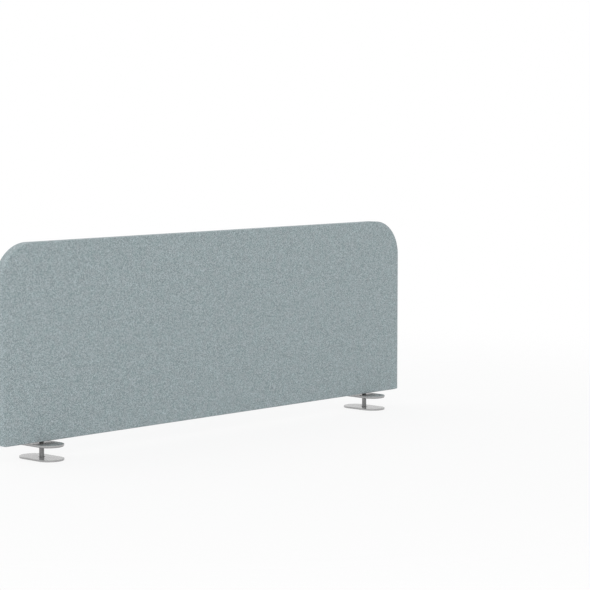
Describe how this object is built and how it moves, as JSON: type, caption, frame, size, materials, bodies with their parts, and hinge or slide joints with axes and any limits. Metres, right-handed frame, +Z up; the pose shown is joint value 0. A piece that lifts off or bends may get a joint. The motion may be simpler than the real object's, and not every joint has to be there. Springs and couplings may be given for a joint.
{
  "type": "desk divider screen",
  "caption": "Upholstered desk divider panel with rounded top corners, held on a desk edge by screw clamps with flat oval plates.",
  "frame": {"origin": "under the middle of the panel, on the surface that the lower clamp plates stand on", "axes": "+X along the panel, to the right seen from the front; the front faces -Y; +Z up"},
  "size_m": [1.2, 0.108, 0.4373],
  "materials": {
    "upholstery": "matte",
    "padding_felt": "matte",
    "infill_felt": "matte",
    "cover_felt": "matte",
    "frame_wood": "matte",
    "dowel_beech": "matte",
    "zinc_wire": "satin",
    "zinc_steel": "satin",
    "plate_metal": "satin",
    "screw_steel": "satin",
    "ring_steel": "satin",
    "pad_rubber": "matte"
  },
  "bodies": {
    "panel": {"bottom_rail": "frame_wood", "top_rail": "frame_wood", "left_stile": "frame_wood", "right_stile": "frame_wood", "left_corner_block": "frame_wood", "right_corner_block": "frame_wood", "centre_stiffener": "frame_wood", "frame_dowels": "dowel_beech", "left_infill_board": "infill_felt", "right_infill_board": "infill_felt", "front_padding": "padding_felt", "back_padding": "padding_felt", "front_fabric": "upholstery", "back_fabric": "upholstery", "edge_fabric": "upholstery", "fabric_staples": "zinc_wire", "bottom_cover_strip": "cover_felt", "insert_wood_screws": "zinc_wire", "left_threaded_insert": "zinc_steel", "right_threaded_insert": "zinc_steel"},
    "left_upper_bracket": {"left_upper_plate": "plate_metal", "left_desk_pad": "pad_rubber"},
    "left_lower_bracket": {"left_lower_plate": "plate_metal"},
    "left_screw": {"left_clamp_screw": "screw_steel", "left_retaining_ring": "ring_steel"},
    "right_upper_bracket": {"right_upper_plate": "plate_metal", "right_desk_pad": "pad_rubber"},
    "right_lower_bracket": {"right_lower_plate": "plate_metal"},
    "right_screw": {"right_clamp_screw": "screw_steel", "right_retaining_ring": "ring_steel"}
  },
  "joints": [
    {"name": "left_bracket_swivel", "type": "hinge", "parent": "panel", "child": "left_upper_bracket", "pos_m": [-0.494, 0, 0.029], "axis": [0, 0, 1], "range_deg": [-90, 90]},
    {"name": "left_plate_slide", "type": "slide", "parent": "left_upper_bracket", "child": "left_lower_bracket", "axis": [0, 0, 1], "range_m": [-0.001, 0.009]},
    {"name": "left_screw_turn", "type": "hinge", "parent": "left_lower_bracket", "child": "left_screw", "pos_m": [-0.494, 0, 0], "axis": [0, 0, 1], "range_deg": [-240, 2160]},
    {"name": "right_bracket_swivel", "type": "hinge", "parent": "panel", "child": "right_upper_bracket", "pos_m": [0.494, 0, 0.029], "axis": [0, 0, 1], "range_deg": [-90, 90]},
    {"name": "right_plate_slide", "type": "slide", "parent": "right_upper_bracket", "child": "right_lower_bracket", "axis": [0, 0, 1], "range_m": [-0.001, 0.009]},
    {"name": "right_screw_turn", "type": "hinge", "parent": "right_lower_bracket", "child": "right_screw", "pos_m": [0.494, 0, 0], "axis": [0, 0, 1], "range_deg": [-240, 2160]}
  ],
  "couplings": [
    {"joint": "left_screw_turn", "follows": "left_plate_slide", "rad_per_m": 4188.8},
    {"joint": "right_screw_turn", "follows": "right_plate_slide", "rad_per_m": 4188.8}
  ]
}
